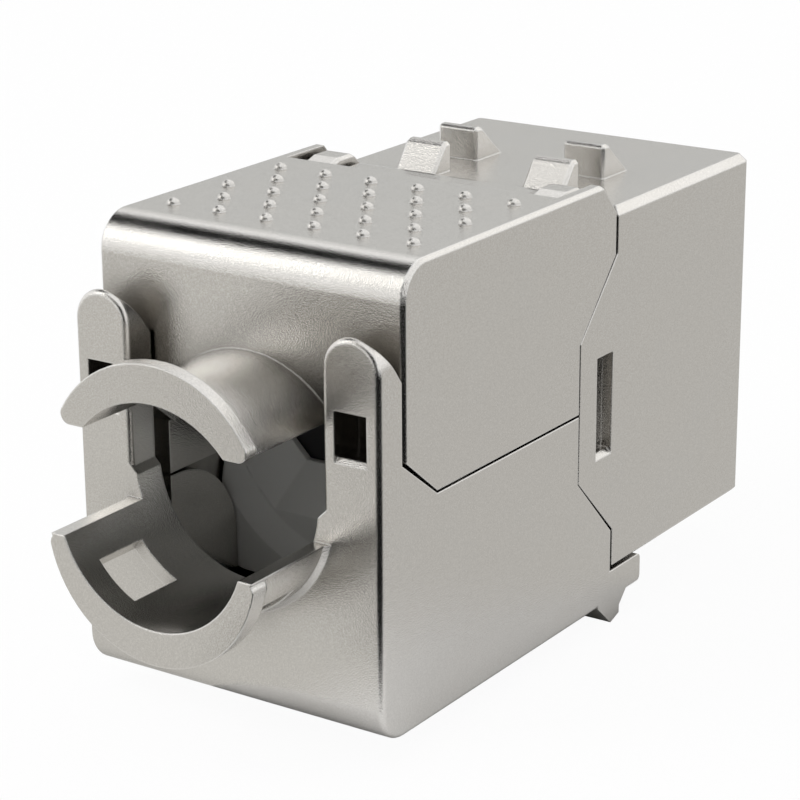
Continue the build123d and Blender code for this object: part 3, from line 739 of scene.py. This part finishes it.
@dataclass
class Finishes:
    """Every material of the jack, built once.

    Args:
        effects: the shared effects.
    """

    effects: Effects = field(default_factory=Effects)

    def __post_init__(self) -> None:
        """Builds the materials."""
        recipes = (
            CastMetal(Coat.FLAP, ZINC, roughness=0.17),
            # the housing gets a lighter painted corner shade than the flaps
            CastMetal(Coat.HOUSING, ZINC, roughness=0.17, painted_shade_depth=0.45),
            MouldedPlastic(
                Coat.MANAGER, (0.62, 0.62, 0.60), roughness=0.42, pale=(0.66, 0.66, 0.64)
            ),
            MouldedPlastic(
                Coat.CARRIER, (0.018, 0.018, 0.019), roughness=0.48, pale=(0.05, 0.05, 0.052)
            ),
            BoardLacquer(Coat.BOARD, (0.02, 0.15, 0.06), roughness=0.3),
            PlatedSheet(Coat.GOLD, (0.83, 0.58, 0.2), roughness=0.24),
            PlatedSheet(
                Coat.TIN, (0.66, 0.65, 0.62), roughness=0.32, tarnish=(0.45, 0.43, 0.4)
            ),
            PlatedSheet(
                Coat.SPRING, (0.7, 0.69, 0.67), roughness=0.2, tarnish=(0.5, 0.47, 0.42)
            ),
        )
        self.laid = {recipe.coat: recipe.build(self.effects) for recipe in recipes}


def dress(name: str, node: bpy.types.Object, material: bpy.types.Material) -> None:
    """Gives one carried-over piece its finish and reports it.

    Args:
        name: the piece's name.
        node: the piece.
        material: the finish.
    """
    node.data.materials.clear()
    node.data.materials.append(material)
    LOG.info("%s dressed in %s", name, material.name)


@dataclass
class Castings:
    """The housing and the two flaps.

    Args:
        nodes: the frame's nodes.
        finishes: the materials.
    """

    nodes: dict[str, bpy.types.Object]
    finishes: Finishes
    coats: ClassVar[dict[str, Coat]] = {
        "front_housing": Coat.HOUSING,
        "upper_flap": Coat.FLAP,
        "lower_flap": Coat.FLAP,
    }

    def build(self) -> None:
        """Dresses each casting."""
        for name, coat in self.coats.items():
            dress(name, self.nodes[name], self.finishes.laid[coat])


@dataclass
class InnerWorks:
    """The mouldings, the board, the contacts and the shield springs.

    Args:
        nodes: the frame's nodes.
        finishes: the materials.
    """

    nodes: dict[str, bpy.types.Object]
    finishes: Finishes
    coats: ClassVar[dict[str, Coat]] = {
        "wire_manager": Coat.MANAGER,
        "idc_block": Coat.CARRIER,
        "contact_carrier": Coat.CARRIER,
        "circuit_board": Coat.BOARD,
        "idc_contact": Coat.TIN,
        "port_contact": Coat.GOLD,
        "shield_spring": Coat.SPRING,
    }

    def build(self) -> None:
        """Dresses each inner piece, by how its name starts."""
        for name, node in self.nodes.items():
            for start, coat in self.coats.items():
                if name.startswith(start):
                    dress(name, node, self.finishes.laid[coat])


def square(name: str, parts: int, reach: float) -> bpy.types.Object:
    """Makes a flat square round the origin.

    Args:
        name: the square's name.
        parts: faces along each side.
        reach: distance from its middle to a side, in metres.

    Returns:
        The square, in the scene.
    """
    mesh = bpy.data.meshes.new(name)
    shape = bmesh.new()
    bmesh.ops.create_grid(shape, x_segments=parts, y_segments=parts, size=reach)
    shape.to_mesh(mesh)
    shape.free()
    made = bpy.data.objects.new(name, mesh)
    bpy.context.collection.objects.link(made)
    return made


@dataclass(frozen=True)
class WallCard:
    """A card that faces the jack and shows in its reflections alone.

    Args:
        name: the card's name.
        colour: its linear colour.
        towards: direction from the jack to the card.
        distance: how far off it hangs, in metres.
        size: its width and height, in metres.
    """

    name: str
    colour: Colour
    towards: Point
    distance: float
    size: Pair

    def place(self) -> Matrix:
        """Finds the card's place, turn and size.

        Returns:
            The matrix for a card one metre wide.
        """
        away = Vector(self.towards).normalized()
        turn = away.to_track_quat("Z", "Y").to_matrix().to_4x4()
        size = Matrix.Diagonal((*self.size, 1.0, 1.0))
        return Matrix.Translation(away * self.distance) @ turn @ size


@dataclass(frozen=True)
class FloorCard:
    """A card just above the floor, square to the camera, which shows in reflections alone.

    Args:
        name: the card's name.
        colour: its linear colour.
        span: nearest and furthest reach from the origin towards the camera, in metres.
        across: reach to the left and to the right, in metres.
        lift: its height above the floor, in millimetres.
    """

    name: str
    colour: Colour
    span: Pair
    across: Pair
    lift: float

    def place(self, azimuth: float, floor_height: float) -> Matrix:
        """Finds the card's place, turn and size.

        Args:
            azimuth: degrees the camera's view turns about Z.
            floor_height: height of the floor, in metres.

        Returns:
            The matrix for a card one metre wide.
        """
        near, far = self.span
        left, right = self.across
        height = floor_height + self.lift * MILLIMETRE
        turn = Matrix.Rotation(math.radians(azimuth), 4, "Z")
        centre = Vector(((left + right) / 2, -(near + far) / 2, height))
        size = Matrix.Diagonal((right - left, far - near, 1.0, 1.0))
        return turn @ Matrix.Translation(centre) @ size


@dataclass(frozen=True)
class Lamp:
    """A soft square lamp aimed at the jack.

    Args:
        name: the lamp's name.
        at: its place, in metres.
        size: its edge, in metres.
        power: its power, in watts.
    """

    name: str
    at: Point
    size: float
    power: float

    def build(self) -> None:
        """Adds the lamp, which reflections don't show."""
        light = bpy.data.lights.new(self.name, "AREA")
        light.size = self.size
        light.energy = self.power
        lamp = bpy.data.objects.new(self.name, light)
        lamp.location = self.at
        lamp.rotation_euler = Vector(self.at).to_track_quat("Z", "Y").to_euler()
        lamp.visible_glossy = False
        bpy.context.collection.objects.link(lamp)


@dataclass
class Studio:
    """Floor, cards, lamps, world and camera.

    Args:
        floor_height: height of the floor, in metres.
        floor_parts: faces along each side of the floor.
        floor_reach: distance from the floor's middle to a side, in metres.
        floor_colour: the floor's linear colour.
        floor_roughness: the floor's roughness.
        floor_gloss: the floor's specular level.
        floor_clear: how far the camera sees through the floor.
        dimmed: strength of the world where it lights matt surfaces.
        full: strength of the world where the camera, metal or glass shows it.
        card_parts: faces along each side of a card.
        card_reach: distance from an unsized card's middle to a side, in metres.
        camera_at: the camera's place, in metres.
        azimuth: degrees the view turns about Z.
        elevation: degrees the view looks down.
        roll: degrees the picture turns.
        focal_pixels: focal length in the picture's pixels.
        sensor: width of the camera's sensor, in millimetres.
        nearest: nearest distance that the camera shows, in metres.
    """

    floor_height: float
    floor_parts: int = 8
    floor_reach: float = 3.0
    floor_colour: Colour = (0.9, 0.9, 0.9)
    floor_roughness: float = 0.8
    floor_gloss: float = 0.1
    floor_clear: float = 0.95
    dimmed: float = 0.75
    full: float = 1.0
    card_parts: int = 4
    card_reach: float = 0.5
    camera_at: Point = (0.05871, -0.09378, 0.03467)
    azimuth: float = 34.201
    elevation: float = 18.424
    roll: float = -0.419
    focal_pixels: float = 2618.3
    sensor: float = 36.0
    nearest: float = 0.005

    wall_cards: ClassVar[tuple[WallCard, ...]] = (
        WallCard(
            "dark card high behind", (0.01, 0.01, 0.01),
            towards=(-0.575, -0.01, 0.81), distance=0.5, size=(0.33, 0.30),
        ),
        WallCard(
            "grey card low behind", (0.60, 0.60, 0.59),
            towards=(-0.60, 0.80, 0.16), distance=0.6, size=(0.6, 0.44),
        ),
        WallCard(
            "softbox", (1.75, 1.74, 1.71),
            towards=(-0.573, -0.61, 0.54), distance=0.56, size=(0.24, 0.34),
        ),
        WallCard(
            "grey card in front", (0.34, 0.335, 0.32),
            towards=(-0.146, -0.826, 0.545), distance=0.52, size=(0.36, 0.40),
        ),
        WallCard(
            "dark card in front", (0.015, 0.015, 0.015),
            towards=(0.47, -0.82, 0.33), distance=0.45, size=(0.40, 0.40),
        ),
        WallCard(
            "bright card behind", (1.15, 1.14, 1.12),
            towards=(0.316, 0.785, 0.533), distance=0.56, size=(0.36, 0.22),
        ),
    )
    floor_cards: ClassVar[tuple[FloorCard, ...]] = (
        FloorCard(
            "dark floor in front", (0.012, 0.012, 0.012),
            span=(0.026, 0.45), across=(-0.022, 0.14), lift=0.6,
        ),
        FloorCard(
            "dark floor further left", (0.012, 0.012, 0.012),
            span=(0.041, 0.30), across=(-0.065, -0.022), lift=0.6,
        ),
        FloorCard(
            "grey floor right", (0.56, 0.55, 0.53),
            span=(-0.4, 0.0255), across=(0.008, 0.4), lift=0.3,
        ),
        FloorCard(
            "grey floor left", (0.62, 0.61, 0.585),
            span=(-0.02, 0.3), across=(-0.4, -0.012), lift=0.3,
        ),
    )
    lamps: ClassVar[tuple[Lamp, ...]] = (
        Lamp("key", at=(-0.30, -0.30, 0.50), size=0.35, power=0.9),
        Lamp("fill", at=(-0.30, -0.45, 0.06), size=0.25, power=2.2),
    )

    def build_floor(self) -> None:
        """Builds the pale floor, which keeps the shadow and lets the opened flap show below it."""
        floor = square("floor", self.floor_parts, self.floor_reach)
        floor.location.z = self.floor_height
        material = bpy.data.materials.new("Pale floor")
        material.use_nodes = True
        tree = Tree(material.node_tree)
        shader = tree.ready(Ready.SHADER)
        shader.inputs["Base Color"].default_value = colour4(self.floor_colour)
        shader.inputs["Roughness"].default_value = self.floor_roughness
        shader.inputs["Specular IOR Level"].default_value = self.floor_gloss
        clear = tree.node("ShaderNodeBsdfTransparent")
        path = tree.node("ShaderNodeLightPath")
        seen = tree.share(path.outputs["Is Camera Ray"], self.floor_clear)
        tree.show_mix(seen, shader, clear, Ready.SURFACE)
        floor.data.materials.append(material)
        floor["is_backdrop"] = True

    def build_world(self) -> None:
        """Builds the white surround, a little dimmer where it lights matt surfaces."""
        world = bpy.data.worlds.new("Surround")
        bpy.context.scene.world = world
        world.use_nodes = True
        tree = Tree(world.node_tree)
        matt = tree.ready(Ready.BACKGROUND)
        seen = tree.node("ShaderNodeBackground")
        for light, strength in ((matt, self.dimmed), (seen, self.full)):
            light.inputs["Color"].default_value = colour4(WHITE)
            light.inputs["Strength"].default_value = strength
        rays = tree.node("ShaderNodeLightPath").outputs
        shown = tree.maths("MAXIMUM", rays["Is Camera Ray"], rays["Is Transmission Ray"])
        shown = tree.maths("MAXIMUM", shown, rays["Is Glossy Ray"])
        tree.show_mix(shown, matt, seen, Ready.WORLD)

    def hang(self, name: str, place: Matrix, colour: Colour) -> None:
        """Adds an evenly shaded card that only reflections see.

        Args:
            name: the card's name.
            place: its place, turn and size.
            colour: its linear colour.
        """
        card = square(name, self.card_parts, self.card_reach)
        card.matrix_world = place
        card.visible_camera = False
        card.visible_diffuse = False
        card.visible_shadow = False
        material = bpy.data.materials.new(name)
        material.use_nodes = True
        tree = Tree(material.node_tree)
        glow = tree.node("ShaderNodeEmission")
        glow.inputs["Color"].default_value = colour4(colour)
        tree.join(glow.outputs[0], tree.ready(Ready.SURFACE).inputs["Surface"])
        card.data.materials.append(material)
        card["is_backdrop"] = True

    def build_camera(self) -> None:
        """Places the camera at the photograph's view."""
        angles = (self.azimuth, self.elevation, self.roll)
        turn, tip, roll = (math.radians(angle) for angle in angles)
        level = math.cos(tip)
        back = Vector((math.sin(turn) * level, -math.cos(turn) * level, math.sin(tip)))
        side = Vector((math.cos(turn), math.sin(turn), 0.0))
        up = back.cross(side)
        right = side * math.cos(roll) + up * math.sin(roll)
        above = up * math.cos(roll) - side * math.sin(roll)
        data = bpy.data.cameras.new("camera")
        data.sensor_width = self.sensor
        data.lens = self.sensor * (self.focal_pixels / PICTURE_WIDTH)
        data.clip_start = self.nearest
        camera = bpy.data.objects.new("camera", data)
        basis = Matrix((right, above, back)).transposed().to_4x4()
        camera.matrix_world = Matrix.Translation(Vector(self.camera_at)) @ basis
        bpy.context.collection.objects.link(camera)
        bpy.context.scene.camera = camera

    def build(self) -> None:
        """Builds the whole studio."""
        bpy.context.scene.view_settings.view_transform = "Standard"
        self.build_floor()
        self.build_world()
        for card in self.wall_cards:
            self.hang(card.name, card.place(), card.colour)
        for card in self.floor_cards:
            self.hang(card.name, card.place(self.azimuth, self.floor_height), card.colour)
        for lamp in self.lamps:
            lamp.build()
        self.build_camera()
        LOG.info("studio set")


def write_sizes(before: object, after: object) -> None:
    """Gathers the solids' box and the dressed jack's box as plain lists, which are not kept.

    Args:
        before: box straight after loading.
        after: box at the end.
    """

    def plain(box: object) -> list[object]:
        """Returns nested plain lists."""
        return [plain(item) if hasattr(item, "__len__") else float(item) for item in box]

    {"cad": plain(before), "visual": plain(after)}


def main() -> None:
    """Builds the pieces in order."""
    logging.basicConfig(level=logging.INFO, format="%(name)s: %(message)s")
    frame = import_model()
    cad_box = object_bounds()
    finishes = Finishes()
    Castings(frame["nodes"], finishes).build()
    InnerWorks(frame["nodes"], finishes).build()
    lowest = min(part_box(name)[0][2] for name in frame["nodes"])
    Studio(floor_height=lowest).build()
    write_sizes(cad_box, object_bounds())


if __name__ == "__main__":
    main()
